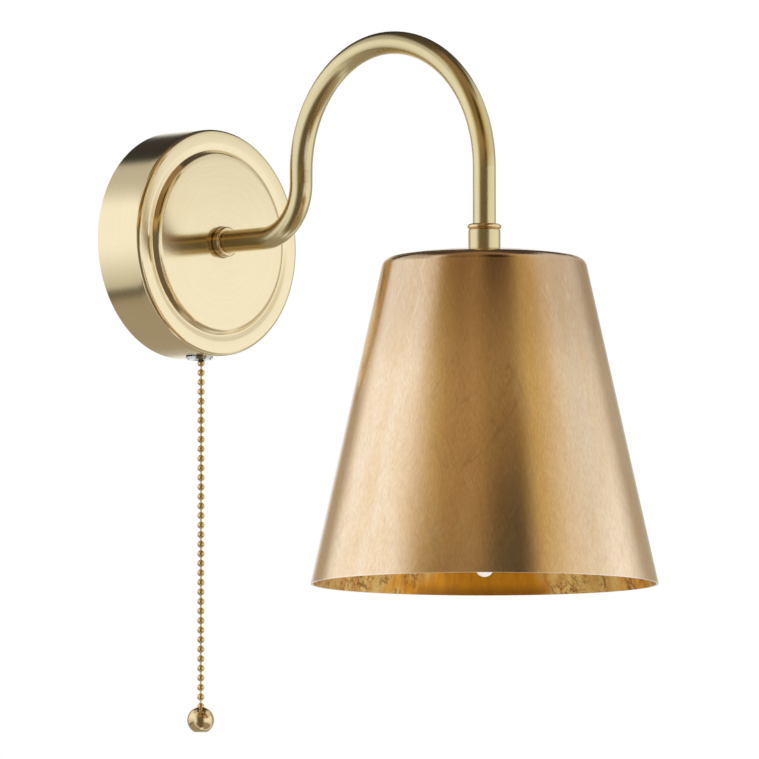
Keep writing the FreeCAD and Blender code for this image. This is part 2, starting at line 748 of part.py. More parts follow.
def make_chain():
    """The pull rod, the beads above the pivot, the pivot bead, the hanging beads and the ball."""
    steps = [
        ("0", ROD_HEAD),
        ("rod_head_radius", ROD_HEAD),
        ("rod_head_radius", f"{ROD_HEAD} + rod_head_height"),
        ("rod_stem_radius", f"{ROD_HEAD} + rod_head_height"),
        ("rod_stem_radius", ROD_FOOT),
        ("0", ROD_FOOT),
    ]
    turned("pull_rod", steps, Base_y=f"-{CHAIN_OUT}")
    upper = [f"{PIVOT_DROP} - 2 * bead_pitch", f"{PIVOT_DROP} - bead_pitch"]
    group("upper_chain_beads", [bead(drop) for drop in upper])
    upper_links = [
        link(f"{upper[0]} + {BEAD_POLE}", f"{upper[1]} - {BEAD_POLE}"),
        link(f"{upper[1]} + {BEAD_POLE}", f"{PIVOT_DROP} - bead_radius - swivel_fit"),
    ]
    group("upper_chain_links", upper_links)
    pivot = doc.addObject("Part::Sphere", "PivotBead")
    bind(pivot, Radius="bead_radius", Base_y=f"-{CHAIN_OUT}", Base_z=f"-{PIVOT_DROP}")
    keep(pivot, "swivel_bead")
    beads = []
    first = f"{PIVOT_DROP} + bead_radius + swivel_fit"
    links = [link(first, f"{PIVOT_DROP} + bead_pitch - {BEAD_POLE}")]
    for number in range(1, round(amount_of("bead_count")) + 1):
        beads.append(bead(f"{PIVOT_DROP} + {number} * bead_pitch"))
        if number > 1:
            above = f"{PIVOT_DROP} + {number - 1} * bead_pitch + {BEAD_POLE}"
            links.append(link(above, f"{PIVOT_DROP} + {number} * bead_pitch - {BEAD_POLE}"))
    group("chain_beads", beads)
    group("chain_links", links)
    recess = "(bead_radius + pass_fit)"
    floor = f"({PIVOT_DROP} + bead_count * bead_pitch + {BEAD_POLE})"
    lip = f"({BALL_DROP} - sqrt(ball_radius^2 - {recess}^2))"
    foot = f"({BALL_DROP} + sqrt(ball_radius^2 - ball_flat^2))"
    steps = [
        ("0", floor),
        (recess, floor),
        (recess, lip),
        ("ball_radius", RIGHT, "arc"),
        ("ball_radius", BALL_DROP),
        ("ball_radius", RIGHT, "arc"),
        ("ball_flat", foot),
        ("0", foot),
    ]
    turned("pull_ball", steps, Base_y=f"-{CHAIN_OUT}")


# ----------------------------------------------------------------------- arm


def make_arm():
    """The swan-neck tube, with its collar, washer and lock nut at the drum."""
    body = new_body("arm_tube", OUT)
    path = new_sketch(body, "YZ_Plane", "ArmPath")
    start = f"({ARM_INNER} - arm_tail)"
    steps = [
        "arm_run + plate_wall + arm_tail",
        ("arm_bend", -90),
        "arm_rise",
        ("arch_back_radius", 90),
        ("arch_front_radius", 90),
        f"{ARCH_FOOT} + arm_end_drop",
    ]
    draw_route(path, ("0", start), 90, steps)
    section = new_sketch(body, "XY_Plane", "ArmSection")
    section.setExpression("AttachmentOffset.Base.z", cells(start))
    draw_circle(section, "tube_radius", name="outer")
    draw_circle(section, "tube_bore", name="inner")
    pipe = body.newObject("PartDesign::AdditivePipe", "ArmPipe")
    pipe.Profile = section
    pipe.Spine = (path, [])
    bore = "tube_radius + thread_fit"
    band_end = f"({DISC_FACE} + collar_band)"
    lip_end = f"({DISC_FACE} + collar_band + collar_lip)"
    steps = [
        (bore, DISC_FACE),
        ("collar_radius", DISC_FACE),
        ("collar_radius", f"{band_end} - collar_groove"),
        ("collar_radius - collar_groove", band_end),
        ("collar_lip_radius - collar_groove", band_end),
        ("collar_lip_radius", f"{band_end} + collar_groove"),
        ("collar_lip_radius", f"{lip_end} - collar_round"),
        ("collar_round", RIGHT, "arc"),
        ("collar_lip_radius - collar_round", lip_end),
        (bore, lip_end),
    ]
    turned("arm_collar", steps, OUT)
    washer_in = f"({ARM_INNER} - seat_fit - lock_washer_thickness)"
    ring("arm_lock_washer", bore, "lock_washer_radius", washer_in, f"{ARM_INNER} - seat_fit", OUT)
    hex_nut("arm_lock_nut", "lock_nut_flats", "lock_nut_height", bore, OUT,
            Base_y=f"-({washer_in} - lock_nut_height)")


def make_flex():
    """The lamp's flex, from the terminal block through the whole arm into the lampholder."""
    body = new_body("lamp_flex", OUT)
    path = new_sketch(body, "YZ_Plane", "FlexPath")
    steps = [
        "block_bottom - flex_bend",
        ("flex_bend", -90),
        f"{BEND_OUT} - way_out - flex_bend",
        ("arm_bend", -90),
        "arm_rise",
        ("arch_back_radius", 90),
        ("arch_front_radius", 90),
        f"{ARCH_FOOT} + {HOLDER_TOP} + holder_cap_height",
    ]
    draw_route(path, ("block_bottom", "way_out"), 180, steps)
    section = new_sketch(body, "XZ_Plane", "FlexSection")
    section.setExpression("AttachmentOffset.Base.z", cells("-block_bottom"))
    draw_circle(section, "flex_radius", "0", "way_out")
    pipe = body.newObject("PartDesign::AdditivePipe", "FlexPipe")
    pipe.Profile = section
    pipe.Spine = (path, [])


def make_coupler():
    """The beaded ring and the plain coupler at the end of the arm."""
    at_shade = {"Base_y": f"-{SHADE_OUT}"}
    bore = "tube_radius + thread_fit"
    ring_end = "(ring_top + ring_height)"
    round_off = "ring_height / 2"
    steps = [
        (bore, "ring_top"),
        (f"ring_radius - {round_off}", "ring_top"),
        (round_off, RIGHT, "arc"),
        ("ring_radius", f"ring_top + {round_off}"),
        (round_off, RIGHT, "arc"),
        (f"ring_radius - {round_off}", ring_end),
        (bore, ring_end),
    ]
    turned("arm_end_ring", steps, **at_shade)
    steps = [
        (bore, ring_end),
        ("coupler_radius - coupler_chamfer", ring_end),
        ("coupler_radius", f"{ring_end} + coupler_chamfer"),
        ("coupler_radius", SHADE_TOP),
        (bore, SHADE_TOP),
    ]
    turned("shade_coupler", steps, **at_shade)


# --------------------------------------------------------------------- shade


def edge_round_axis(body, radius, height):
    """The name of the body's circular edge of that radius at that height of its own frame."""
    shape = body.Tip.Shape
    for number, edge in enumerate(shape.Edges, start=1):
        curve = edge.Curve
        if not isinstance(curve, Part.Circle):
            continue
        if abs(curve.Radius - radius) < EDGE_MATCH and abs(curve.Center.z - height) < EDGE_MATCH:
            return f"Edge{number}"
    raise ValueError(f"{body.Label} has no edge of radius {radius} at {height}")


def make_shade():
    """The spun shade: flat seat, shallow dome, rounded shoulder, straight cone and cut rim."""
    body = new_body("shade", DOWN, Base_y=f"-{SHADE_OUT}", Base_z=f"-{SHADE_TOP}")
    hole = "tube_radius + pass_fit"
    thin = "shade_wall"
    taper = "((shade_bottom_radius - shade_top_radius) / (shade_height - shade_crown))"
    across = f"(shade_wall * sqrt(1 + {taper}^2))"
    corner = f"(shade_top_radius - {across} + {taper} * {thin})"
    crown = "(((shade_top_radius - shade_seat)^2 + shade_crown^2) / (2 * shade_crown))"
    inner_crown = f"((({corner} - shade_seat)^2 + shade_crown^2) / (2 * shade_crown))"
    steps = [
        (hole, "0"),
        ("shade_seat", "0"),
        (crown, RIGHT, "arc"),
        ("shade_top_radius", "shade_crown"),
        ("shade_bottom_radius", "shade_height"),
        (f"shade_bottom_radius - {across}", "shade_height"),
        (corner, f"shade_crown + {thin}"),
        (inner_crown, LEFT, "arc"),
        ("shade_seat", thin),
        (hole, thin),
    ]
    turn_outline(body, steps, "Spinning")
    for name, radius, height, rounding in (
        ("OuterShoulder", "shade_top_radius", "shade_crown", "shade_shoulder"),
        ("InnerShoulder", corner, f"shade_crown + {thin}", "shade_shoulder - shade_wall"),
    ):
        doc.recompute()
        edge = edge_round_axis(body, amount_of(radius), amount_of(height))
        fillet = body.newObject("PartDesign::Fillet", name)
        fillet.Base = (fillet.BaseFeature, [edge])
        bind(fillet, Radius=rounding)
    at_shade = {"Base_y": f"-{SHADE_OUT}"}
    washer_end = f"({SHADE_UNDER} + shade_washer_thickness)"
    bore = "tube_radius + thread_fit"
    ring("shade_washer", bore, "shade_washer_radius", SHADE_UNDER, washer_end, **at_shade)
    hex_nut("shade_nut", "lock_nut_flats", "shade_nut_height", bore, DOWN,
            Base_z=f"-{washer_end}", **at_shade)


# -------------------------------------------------------- lampholder and lamp


def make_lampholder():
    """The lampholder: screwed cap, skirt, insulator, screw shell and centre contact."""
    at_shade = {"Base_y": f"-{SHADE_OUT}"}
    neck_end = f"({HOLDER_TOP} + holder_neck_height)"
    cap_end = f"({HOLDER_TOP} + holder_cap_height)"
    bore = "tube_radius + thread_fit"
    inside = "(holder_radius - holder_wall)"
    corner = "(holder_radius - holder_neck_radius)"
    steps = [
        (bore, HOLDER_TOP),
        ("holder_neck_radius", HOLDER_TOP),
        ("holder_neck_radius", neck_end),
        (corner, RIGHT, "arc"),
        ("holder_radius", f"{neck_end} + {corner}"),
        ("holder_radius", cap_end),
        (inside, cap_end),
        (inside, f"{neck_end} + {corner}"),
        (f"{corner} - holder_wall", LEFT, "arc"),
        ("holder_neck_radius", f"{neck_end} + holder_wall"),
        (bore, f"{neck_end} + holder_wall"),
    ]
    turned("lampholder_cap", steps, **at_shade)
    ring("lampholder_skirt", inside, "holder_radius", cap_end, HOLDER_END, **at_shade)
    insulator_top = f"({SHELL_TOP} - insulator_depth)"
    core = "(shell_radius + seat_fit)"
    steps = [
        ("flex_radius", insulator_top),
        (f"{inside} - seat_fit", insulator_top),
        (f"{inside} - seat_fit", f"{insulator_top} + insulator_length"),
        (core, f"{insulator_top} + insulator_length"),
        (core, SHELL_TOP),
        ("flex_radius", SHELL_TOP),
    ]
    turned("lampholder_insulator", steps, **at_shade)
    ring("lamp_screw_shell", "shell_radius - shell_wall", "shell_radius", SHELL_TOP,
         f"{HOLDER_END} - shell_recess", **at_shade)
    tongue = f"({SHELL_TOP} + contact_rise)"
    steps = [
        ("0", SHELL_TOP),
        ("contact_radius", SHELL_TOP),
        ("contact_radius", f"{SHELL_TOP} + contact_thickness"),
        ("contact_tongue_radius", tongue),
        ("0", tongue),
    ]
    turned("centre_contact", steps, **at_shade)


def make_lamp():
    """The candle lamp: centre contact, glass insulator, screw cap, bulb, stem and filaments."""
    at_shade = {"Base_y": f"-{SHADE_OUT}"}
    glass_top = f"({LAMP_SEAT} + lamp_contact_height)"
    steps = [
        ("0", LAMP_SEAT),
        ("lamp_contact_radius", LAMP_SEAT),
        ("lamp_contact_radius", glass_top),
        ("0", glass_top),
    ]
    turned("lamp_contact", steps, **at_shade)
    steps = [
        ("0", glass_top),
        ("lamp_contact_radius", glass_top),
        ("lamp_cap_radius - lamp_cap_shoulder", LAMP_CAP_TOP),
        ("0", LAMP_CAP_TOP),
    ]
    turned("lamp_insulator", steps, **at_shade)
    shoulder = f"({LAMP_CAP_TOP} + lamp_cap_shoulder)"
    steps = [
        ("0", LAMP_CAP_TOP),
        ("lamp_cap_radius - lamp_cap_shoulder", LAMP_CAP_TOP),
        ("lamp_cap_radius", shoulder),
        ("lamp_cap_radius", LAMP_CAP_END),
        ("lamp_cap_radius - lamp_cap_wall", LAMP_CAP_END),
        ("lamp_cap_radius - lamp_cap_wall", shoulder),
        ("0", shoulder),
    ]
    turned("lamp_cap", steps, **at_shade)
    make_bulb(at_shade)


def make_bulb(at_shade):
    """The candle glass, with its stem and filaments inside."""
    wall = "lamp_glass_wall"
    neck = "(lamp_cap_radius - lamp_cap_wall - seat_fit)"
    start = f"({LAMP_CAP_END} - lamp_neck_length)"
    belly = f"({start} + lamp_belly_drop)"
    tip = f"({start} + lamp_glass_length)"
    swell = f"((({belly} - {LAMP_CAP_END})^2 + (lamp_radius - {neck})^2) / (2 * (lamp_radius - {neck})))"
    run = f"({tip} - lamp_tip_radius - {belly})"
    taper = f"((lamp_radius^2 + {run}^2 - lamp_tip_radius^2) / (2 * (lamp_radius - lamp_tip_radius)))"
    lean = f"(({taper} - lamp_radius) / ({taper} - lamp_tip_radius))"
    rise = f"({run} / ({taper} - lamp_tip_radius))"
    inner_tip = f"(lamp_tip_radius - {wall})"
    steps = [
        (neck, start),
        (neck, LAMP_CAP_END),
        (swell, RIGHT, "arc"),
        ("lamp_radius", belly),
        (taper, RIGHT, "arc"),
        (f"lamp_tip_radius * {lean}", f"{tip} - lamp_tip_radius + lamp_tip_radius * {rise}"),
        ("lamp_tip_radius", RIGHT, "arc"),
        ("0", tip),
        ("0", f"{tip} - {wall}"),
        (inner_tip, LEFT, "arc"),
        (f"{inner_tip} * {lean}", f"{tip} - lamp_tip_radius + {inner_tip} * {rise}"),
        (f"{taper} - {wall}", LEFT, "arc"),
        (f"lamp_radius - {wall}", belly),
        (swell, LEFT, "arc"),
        (f"{neck} - {wall}", LAMP_CAP_END),
        (f"{neck} - {wall}", start),
    ]
    turned("lamp_glass", steps, **at_shade)
    foot = f"({start} + stem_foot_height)"
    steps = [
        ("0", start),
        (f"{neck} - {wall} - seat_fit", start),
        (f"{neck} - {wall} - seat_fit", foot),
        ("stem_radius", f"{foot} + stem_flare"),
        ("stem_radius", f"{start} + stem_height - stem_head_height"),
        ("filament_offset + filament_radius", f"{start} + stem_height - stem_head_height"),
        ("filament_offset + filament_radius", f"{start} + stem_height"),
        ("0", f"{start} + stem_height"),
    ]
    turned("lamp_stem", steps, **at_shade)
    sticks = []
    count = round(amount_of("filament_count"))
    for number in range(count):
        turn = f"{number} * 360 deg / filament_count"
        sticks.append(cylinder("filament_radius", "filament_length", DOWN,
                               Base_x=f"filament_offset * cos({turn})",
                               Base_y=f"-{SHADE_OUT} + filament_offset * sin({turn})",
                               Base_z=f"-({start} + stem_height)"))
    group("lamp_filaments", sticks)


make_cover()
make_bracket()
make_cover_screw()
make_earth_terminal()
make_terminal_block()
make_switch()
make_switch_leads()
make_chain()
make_arm()
make_flex()
make_coupler()
make_shade()
make_lampholder()
make_lamp()
doc.recompute()

for thing in doc.Objects:
    if "Invalid" in thing.State or "Error" in thing.State:
        raise ValueError(f"{thing.Label} failed: {thing.State}")
for piece in pieces:
    if piece.Shape.isNull() or not piece.Shape.isValid() or not piece.Shape.Solids:
        raise ValueError(f"{piece.Label} has no valid solid")

os.makedirs("parts", exist_ok=True)
for piece in pieces:
    piece.Shape.exportStep(f"parts/{piece.Label}.step")
    box = piece.Shape.BoundBox
    low = f"{box.XMin:.2f} {box.YMin:.2f} {box.ZMin:.2f}"
    high = f"{box.XMax:.2f} {box.YMax:.2f} {box.ZMax:.2f}"
    print(f"{piece.Label}: {len(piece.Shape.Solids)} solids, {piece.Shape.Volume:.2f} mm3, {low} to {high}")
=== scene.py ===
import math

import bpy
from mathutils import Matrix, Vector


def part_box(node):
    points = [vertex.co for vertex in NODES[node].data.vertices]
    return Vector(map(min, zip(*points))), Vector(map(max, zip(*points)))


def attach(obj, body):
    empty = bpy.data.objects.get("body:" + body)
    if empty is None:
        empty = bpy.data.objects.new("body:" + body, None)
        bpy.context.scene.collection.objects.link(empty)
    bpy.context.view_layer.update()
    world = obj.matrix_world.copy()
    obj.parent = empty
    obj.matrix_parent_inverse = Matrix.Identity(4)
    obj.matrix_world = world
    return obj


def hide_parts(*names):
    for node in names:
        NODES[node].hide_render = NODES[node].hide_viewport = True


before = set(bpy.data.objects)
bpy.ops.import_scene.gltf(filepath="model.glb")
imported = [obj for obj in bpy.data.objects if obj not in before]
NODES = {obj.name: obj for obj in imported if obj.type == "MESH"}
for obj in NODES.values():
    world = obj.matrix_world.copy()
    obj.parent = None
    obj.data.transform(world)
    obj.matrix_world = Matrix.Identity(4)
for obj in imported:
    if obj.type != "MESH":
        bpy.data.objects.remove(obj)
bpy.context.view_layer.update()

# A pull-chain wall light in satin brass, with a tapered antique shade. Metres, in the
# frame of the model: the wall is y = 0, the light stands out along -Y, +Z is up.
MM_PER_METRE = 1000

# The camera stands far off with a long lens, below and to the left of the light.
CAMERA_PLACE = Vector((-4.37127, -4.34253, -0.56720))
CAMERA_AIM = Vector((0.71711, 0.69210, 0.08219))
FOCAL_PIXELS = 14000
FRAME_PIXELS = 759
SENSOR = 36.0
CLIP_NEAR, CLIP_FAR = 0.1, 100.0

# The pressed drum, in millimetres as in the construction. The bank's slopes are in
# degrees, from its foot inwards.
DRUM_RADIUS, DRUM_DEPTH, DRUM_WALL, DRUM_ROUND = 50.0, 25.0, 1.0, 2.0
SIDE_HEIGHTS = (0.0, 0.4, 3.0, 7.0, 11.0, 15.0, 19.0)
DISH_OUT, DISH_MARGIN, BANK_FOOT, BANK_TOP = 44.2, 1.0, 41.0, 37.0
DISH_DEPTH, DISC_EDGE, DISC_FACE = 0.4, 27.0, 27.5
BANK_SLOPES = ((41.0, 0.0), (40.6, 50.0), (39.7, 50.0), (38.9, 30.0), (38.0, 12.0), (37.0, 2.0))
ARM_HOLE, NECK_HOLE, SCREW_HOLE = 5.1, 4.3, 1.6
NECK_OUT, SCREW_OUT = 14.4, 6.0
ROUND_STEPS, DISH_STEPS, BANK_STEPS, DOME_STEPS, TURN_STEPS = 12, 14, 10, 20, 240
DRILL_SIDES, DRILL_HALF = 48, 6.0
SHARP_DEGREES = 40.0

# The shade, which is worn bare just above its rim and carries a painted highlight there.
# Inside, a painted amber glow lies round one side, at an angle in radians about its axis,
# where its gold leaf is whole; the leaf is torn elsewhere. A girth turns radians into
# metres round it. A surface that faces its axis by more than INWARD is the inside.
SHADE_LOW, SHADE_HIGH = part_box("shade")
SHADE_AXIS = (SHADE_LOW + SHADE_HIGH) / 2
SHADE_GIRTH, LEAF_GIRTH = 0.06, 0.065
INWARD = -0.0001
SHADE_ROUGHNESS, SHADE_SPECULAR = 0.20, 0.25
LEAF_ROUGHNESS, LEAF_METAL = 0.24, 0.28
RIM_WEAR_AND_HIGHLIGHT = 0.0005
FOOT_SHADOW = (0.0005, 0.006)
GLOW_AND_WHOLE_LEAF_ANGLE = 0.77
CRACKLES, CRACKLE_WARP = 260.0, 0.012
BAND_SQUEEZE = 0.16
# Hairlines: slant and fineness.
HAIRLINES = ((0.30, 19.0), (-0.34, 22.0), (0.62, 17.0), (-0.58, 20.0))

# The drum's brushed lines, and painted shade darkening the crevice round the collar.
LINE_STRETCH = 0.0025
COLLAR_RADIUS = (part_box("arm_collar")[1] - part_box("arm_collar")[0]).x / 2
CREVICE_SHADE_WIDTH = 0.0007

# Depths of relief in metres, and how far the roughness wanders.
SATIN_RELIEF, SPUN_RELIEF, SHADE_RELIEF, PLASTIC_RELIEF = 0.000002, 0.0000008, 0.000002, 0.00001
SATIN_WANDER, SPUN_WANDER, PLASTIC_WANDER, GLASS_WANDER = 0.06, 0.03, 0.15, 0.1

PATINA_PALE, PATINA_DEEP = (1.0, 0.82, 0.62), (0.95, 0.73, 0.49)
TOP_PAINTED_SHADE = (0.60, 0.42, 0.28)
GRAIN_BROWN, HAIR_BROWN, HAIR_PALE_AND_GLINT = (0.42, 0.25, 0.11), (0.42, 0.24, 0.10), (1.0, 0.92, 0.78)
BARE_RIM_AND_HIGHLIGHT = (1.0, 0.84, 0.70)
LEAF_AMBER, LEAF_PALE = (1.0, 0.44, 0.02), (1.0, 0.69, 0.23)
LEAF_STREAK, LEAF_SHADOW, LEAF_GAP = (0.72, 0.27, 0.01), (0.40, 0.15, 0.01), (0.34, 0.13, 0.03)
CREVICE_PAINTED_SHADE = (0.10, 0.07, 0.03)
DRUM_BRASS, DRUM_ROUGHNESS = (0.94, 0.82, 0.55), 0.15
GLASS_DULL, GLASS_CLEAR, PAINTED_GLASS_GLOW = (0.90, 0.89, 0.86), (0.98, 0.97, 0.95), (1.0, 0.97, 0.92)
GLASS_ROUGHNESS = 0.2

# Satin metals: colour, roughness, how much the grain roughens, how far it mottles, nodes.
METALS = {
    "champagne_brass": ((0.79, 0.69, 0.42), 0.23, 0.03, 0.08,
                        ("arm_tube", "shade_coupler", "cover_screw")),
    "bright_brass": ((0.88, 0.72, 0.44), 0.14, 0.02, 0.12,
                     ("arm_collar", "arm_end_ring", "pull_ball")),
    "bead_brass": ((0.90, 0.67, 0.33), 0.22, 0.02, 0.12,
                   ("upper_chain_beads", "upper_chain_links", "swivel_bead", "chain_beads",
                    "chain_links", "pull_rod")),
    "chrome": ((0.64, 0.65, 0.68), 0.10, 0.02, 0.05,
               ("switch_nut", "switch_neck")),
    "zinc_steel": ((0.62, 0.62, 0.60), 0.36, 0.1, 0.2,
                   ("wall_bracket", "terminal_screws", "block_screws", "switch_washer",
                    "arm_lock_washer", "arm_lock_nut", "shade_washer", "shade_nut")),
    "contact_brass": ((0.80, 0.60, 0.28), 0.3, 0.1, 0.2,
                      ("earth_screw", "earth_cup_washer", "terminal_inserts", "switch_blades",
                       "lamp_screw_shell", "centre_contact", "lamp_contact", "lamp_cap")),
}

# Mouldings and sheaths, and the lamp's inner pieces: colour, roughness, nodes.
MOULDINGS = {
    "white_moulding": ((0.82, 0.81, 0.77), 0.45, ("terminal_block", "lampholder_insulator")),
    "dark_moulding": ((0.02, 0.02, 0.02), 0.45,
                      ("switch_case", "switch_lid", "lampholder_cap", "lampholder_skirt")),
    "flex_sheath": ((0.75, 0.73, 0.68), 0.5, ("lamp_flex",)),
    "wire_sheath": ((0.05, 0.12, 0.35), 0.5, ("switch_leads",)),
    "inner_glass": ((0.80, 0.84, 0.84), 0.15, ("lamp_insulator", "lamp_stem")),
    "phosphor": ((0.85, 0.62, 0.15), 0.6, ("lamp_filaments",)),
}

STUDIO_CENTRE = Vector((0.0, -0.13, -0.06))
FLOOR_HEIGHT, FLOOR_HALF, FLOOR_ROUGHNESS = -0.9, 6.0, 0.8
FLOOR_GREY, FILL_GREY, WHITE = (0.86, 0.86, 0.86), (0.62, 0.62, 0.62), (1.0, 1.0, 1.0)
BOX_SIZE, BOX_DISTANCE = (0.9, 1.2), 1.6
# Soft boxes: azimuth, elevation and radiance.
SOFT_BOXES = {"left_box": (-88.0, 12.0, 0.5), "right_box": (90.0, 10.0, 0.4)}

# Flags: azimuths, elevations, colour, strength, soft edges across and up, and distance.
FLAG_STEPS = 24
FLAG_BLIND_RAYS = ("camera", "diffuse", "transmission", "volume_scatter", "shadow")
FLAGS = {
    "front_wide":
        ((-72, 94), (9, 66), (0.58, 0.42, 0.17), 1.0, (0.22, 0.31), (0.12, 0.3), 0.81),
    "front_mid":
        ((-46, 46), (9, 66), (0.42, 0.27, 0.115), 1.0, (0.3, 0.27), (0.12, 0.3), 0.79),
    "front_core":
        ((-5, 43), (4, 24), (0.02, 0.01, 0.004), 1.0, (0.4, 0.35), (0.1, 0.18), 0.77),
    "front_crown":
        ((-12, 46), (26, 62), (0.03, 0.015, 0.005), 1.0, (0.4, 0.36), (0.11, 0.3), 0.77),
    "front_shoulder":
        ((-56, 4), (26, 64), (0.16, 0.095, 0.04), 0.8, (0.3, 0.4), (0.12, 0.3), 0.78),
    "front_lower":
        ((-58, 40), (-84, 22), (0.14, 0.11, 0.065), 1.0, (0.3, 0.3), (0.1, 0.09), 0.72),
    "overhead":
        ((45, 315), (50, 89), (0.08, 0.06, 0.045), 1.0, (0.12, 0.12), (0.3, 0.001), 0.78),
    "overhead_front":
        ((-90, 90), (50, 89), (0.30, 0.19, 0.10), 1.0, (0.1, 0.1), (0.3, 0.001), 0.80),
    "back_upper":
        ((-222, -128), (21, 80), (0.04, 0.036, 0.034), 1.0, (0.2, 0.07), (0.17, 0.1), 0.80),
    "back_upper_right":
        ((122, 200), (34, 80), (0.05, 0.045, 0.035), 0.9, (0.3, 0.2), (0.2, 0.1), 0.80),
    "left_upper":
        ((-150, -56), (26, 75), (0.45, 0.42, 0.36), 0.8, (0.2, 0.2), (0.3, 0.2), 0.84),
    "right_upper":
        ((58, 160), (9, 75), (0.55, 0.52, 0.46), 0.58, (0.25, 0.2), (0.14, 0.2), 0.84),
    "back_left":
        ((-172, -118), (-34, 32), (0.40, 0.32, 0.20), 0.95, (0.4, 0.4), (0.2, 0.3), 0.82),
    "back_right":
        ((104, 180), (-34, 38), (0.42, 0.36, 0.27), 0.95, (0.4, 0.4), (0.2, 0.3), 0.82),
    "left_fall":
        ((-160, -58), (-30, 6), (0.34, 0.30, 0.20), 0.7, (0.1, 0.1), (0.001, 1.0), 0.82),
    "lower_left":
        ((-215, -62), (-84, -24), (0.37, 0.32, 0.25), 1.0, (0.1, 0.1), (0.1, 0.03), 0.80),
    "lower_dark":
        ((-130, -76), (-30, -23), (0.06, 0.05, 0.03), 0.9, (0.2, 0.2), (0.3, 0.2), 0.78),
    "back_lower":
        ((-205, -150), (-60, -8), (0.36, 0.32, 0.26), 0.8, (0.2, 0.2), (0.1, 0.2), 0.81),
    "lower_right":
        ((-66, 150), (-84, -24), (0.36, 0.30, 0.22), 1.0, (0.05, 0.1), (0.1, 0.3), 0.82),
}


def add_to_scene(thing):
    """Puts a new object in the scene."""
    bpy.context.scene.collection.objects.link(thing)


def make_camera():
    """The photograph's viewpoint."""
    data = bpy.data.cameras.new("camera")
    data.sensor_width = SENSOR
    data.lens = FOCAL_PIXELS * SENSOR / FRAME_PIXELS
    data.clip_start = CLIP_NEAR
    data.clip_end = CLIP_FAR
    camera = bpy.data.objects.new("camera", data)
    camera.location = CAMERA_PLACE
    camera.rotation_mode = "QUATERNION"
    camera.rotation_quaternion = CAMERA_AIM.to_track_quat("-Z", "Y")
    add_to_scene(camera)
    bpy.context.scene.camera = camera


# ------------------------------------------------------------- node helpers


def new_material(name):
    """An empty node material, with its tree and its output."""
    material = bpy.data.materials.new(name)
    material.use_nodes = True
    tree = material.node_tree
    tree.nodes.clear()
    return material, tree, tree.nodes.new("ShaderNodeOutputMaterial")


def new_finish(name):
    """A material for a surface, with its tree, its shader and the surface's place."""
    material, tree, output = new_material(name)
    shader = tree.nodes.new("ShaderNodeBsdfPrincipled")
    tree.links.new(shader.outputs["BSDF"], output.inputs["Surface"])
    return material, tree, shader, tree.nodes.new("ShaderNodeTexCoord").outputs["Object"]


def rgba(colour):
    """A colour as a socket takes it."""
    return (*colour, 1.0)


def dimmed(colour, share):
    """A colour at a share of its brightness."""
    return tuple(channel * share for channel in colour)


def put(tree, value, socket):
    """Sets a socket to a number or colour, or links it to another node's output."""
    if isinstance(value, bpy.types.NodeSocket):
        tree.links.new(value, socket)
    else:
        socket.default_value = value


def maths(tree, operation, a, b=0.0, c=0.0):
    """One arithmetic node, as its output."""
    node = tree.nodes.new("ShaderNodeMath")
    node.operation = operation
    for value, socket in zip((a, b, c), node.inputs):
        put(tree, value, socket)
    return node.outputs[0]


def times(tree, a, b):
    """Two values multiplied."""
    return maths(tree, "MULTIPLY", a, b)


def times_plus(tree, a, b, c):
    """Two values multiplied, with a third one added."""
    return maths(tree, "MULTIPLY_ADD", a, b, c)


def ramp(tree, value, low, high, start=0.0, end=1.0):
    """The value taken smoothly from low..high to start..end."""
    node = tree.nodes.new("ShaderNodeMapRange")
    node.interpolation_type = "SMOOTHSTEP"
    for socket, amount in zip(node.inputs, (value, low, high, start, end)):
        put(tree, amount, socket)
    return node.outputs[0]


def mixed(tree, factor, one, other):
    """Two values mixed by a factor."""
    node = tree.nodes.new("ShaderNodeMix")
    put(tree, factor, node.inputs["Factor"])
    put(tree, one, node.inputs["A"])
    put(tree, other, node.inputs["B"])
    return node.outputs["Result"]


def mixed_colour(tree, factor, one, other):
    """Two colours mixed by a factor, each a plain colour or another node's output."""
    node = tree.nodes.new("ShaderNodeMix")
    node.data_type = "RGBA"
    put(tree, factor, node.inputs["Factor"])
    for colour, socket in ((one, node.inputs[6]), (other, node.inputs[7])):
        put(tree, rgba(colour) if isinstance(colour, tuple) else colour, socket)
    return node.outputs[2]


def noise(tree, place, scale, detail, roughness=0.5, distortion=0.0):
    """A cloudy pattern in metres: scale is in patches per metre."""
    node = tree.nodes.new("ShaderNodeTexNoise")
    put(tree, place, node.inputs["Vector"])
    node.inputs["Scale"].default_value = scale
    node.inputs["Detail"].default_value = detail
    node.inputs["Roughness"].default_value = roughness
    node.inputs["Distortion"].default_value = distortion
    return node.outputs["Fac"]


def parts_of(tree, vector):
    """The three parts of a vector."""
    node = tree.nodes.new("ShaderNodeSeparateXYZ")
    put(tree, vector, node.inputs[0])
    return tuple(node.outputs)


def joined(tree, x, y, z):
    """A vector of three values."""
    node = tree.nodes.new("ShaderNodeCombineXYZ")
    for value, socket in zip((x, y, z), node.inputs):
        put(tree, value, socket)
    return node.outputs[0]


def stretched(tree, across, along, stretch, seed):
    """A place for a pattern that is finer across than along. Seeds set patterns apart."""
    return joined(tree, times(tree, across, stretch), along, seed)


def bumped(tree, shader, height, distance):
    """Gives the shader a relief of that depth in metres."""
    node = tree.nodes.new("ShaderNodeBump")
    node.inputs["Distance"].default_value = distance
    put(tree, height, node.inputs["Height"])
    tree.links.new(node.outputs["Normal"], shader.inputs["Normal"])


def dress(material, *nodes):
    """Gives CAD nodes a material."""
    for name in nodes:
        for slot in NODES[name].material_slots:
            slot.link = "OBJECT"
            slot.material = material


# --------------------------------------------------------------- drum cover


